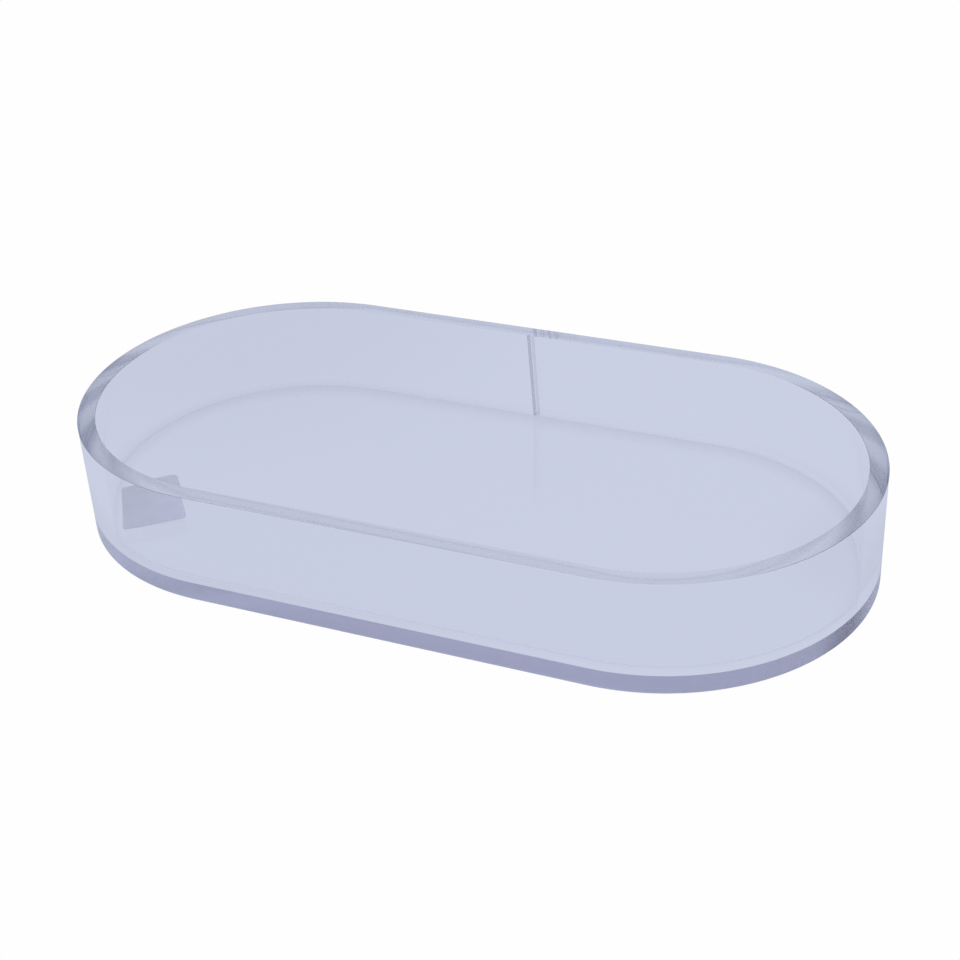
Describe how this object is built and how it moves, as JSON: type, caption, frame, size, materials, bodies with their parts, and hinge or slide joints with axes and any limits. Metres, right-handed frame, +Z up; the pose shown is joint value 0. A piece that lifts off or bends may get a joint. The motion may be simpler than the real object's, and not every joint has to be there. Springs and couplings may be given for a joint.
{
  "type": "vanity tray",
  "caption": "Shallow clear tray with straight sides and half-round ends: a flat base plate and one bent wall strip cemented flush to its edge, open at the top, with a blank label inside.",
  "frame": {"origin": "centre of the tray's flat underside", "axes": "+X along the tray's length, +Y towards the side with the wall's butt joint, +Z up"},
  "size_m": [0.254, 0.1306, 0.036],
  "materials": {
    "acrylic_base": "clear cast acrylic sheet with a faint lavender cast, polished edges",
    "acrylic_wall": "clear cast acrylic sheet with a faint lavender cast, heat-bent, polished rim",
    "seam_cement": "hardened acrylic cement with fine bubbles",
    "bead_cement": "hardened clear acrylic cement",
    "label_paper": "blank satin label stock"
  },
  "bodies": {
    "root": {"base_plate": "acrylic_base", "wall_band": "acrylic_wall", "seam_cement": "seam_cement", "foot_bead": "bead_cement", "label": "label_paper"}
  },
  "joints": []
}
